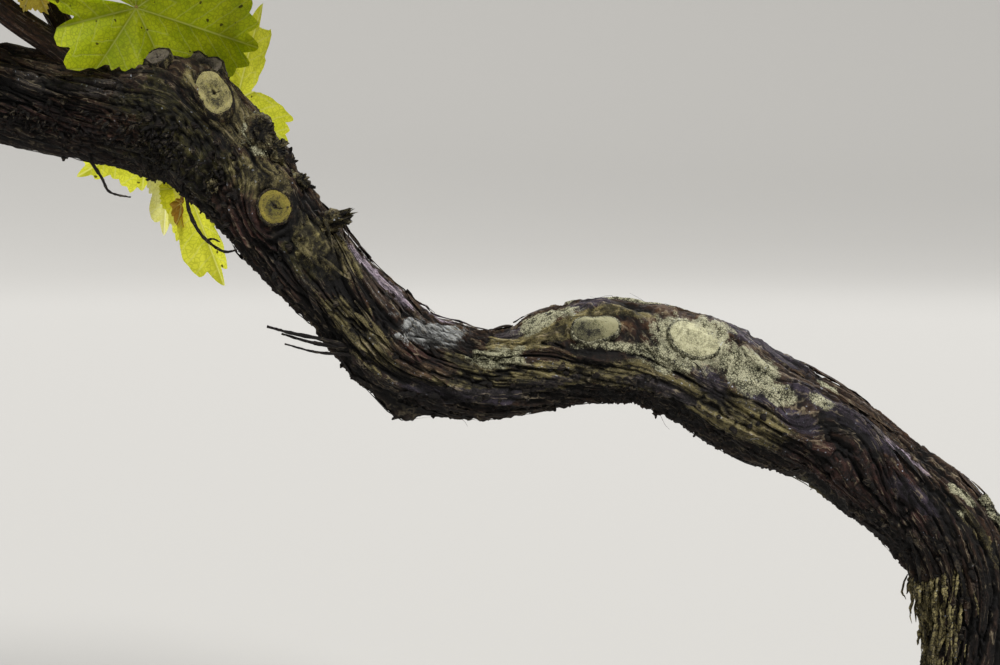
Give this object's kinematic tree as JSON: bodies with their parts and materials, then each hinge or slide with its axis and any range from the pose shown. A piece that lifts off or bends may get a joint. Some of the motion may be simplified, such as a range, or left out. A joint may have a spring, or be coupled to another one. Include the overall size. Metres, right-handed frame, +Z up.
{
  "type": "grapevine",
  "caption": "Old leaning grapevine with a shaggy, humped and dipping trunk, a pruned head, an arm with canes and a leafy crown in early autumn tints.",
  "frame": {"origin": "centre of the flat cut under the trunk, at ground level", "axes": "+Z up; the vine leans towards -X; the side that the picture shows faces -Y"},
  "size_m": [1.1751, 0.4279, 1.7293],
  "materials": {
    "bark": "rough shaggy bark",
    "cane": "fibrous matte bark",
    "cut_wood": "weathered pruning cuts",
    "foliage": "satin leaves"
  },
  "bodies": {
    "root": {"trunk_foot": "bark", "trunk_leg": "bark", "trunk_shoulder": "bark", "trunk_slope": "bark", "trunk_hump": "bark", "trunk_dip": "bark", "trunk_climb": "bark", "trunk_head": "bark", "arm": "bark", "cane_two_year": "cane", "cane_behind": "cane", "cane_head": "cane", "cane_right": "cane", "cane_arm_front": "cane", "cane_arm_back": "cane", "cane_arm_end": "cane", "stub_top": "cut_wood", "stub_crown": "cut_wood", "stub_front": "cut_wood", "stub_neck": "cut_wood", "stub_hump": "cut_wood", "stub_knob": "cut_wood", "leaves_over_head": "foliage", "leaves_behind_head": "foliage", "leaves_under_head": "foliage", "leaves_under_arm": "foliage", "foliage_middle_left_low": "foliage", "foliage_middle_left_high": "foliage", "foliage_middle_left_top": "foliage", "foliage_middle_right_low": "foliage", "foliage_middle_right_high": "foliage", "foliage_middle_right_top": "foliage", "foliage_left_low": "foliage", "foliage_left_high": "foliage", "foliage_right_low": "foliage", "foliage_right_high": "foliage", "foliage_far_left_low": "foliage", "foliage_far_right_low": "foliage"}
  },
  "joints": []
}
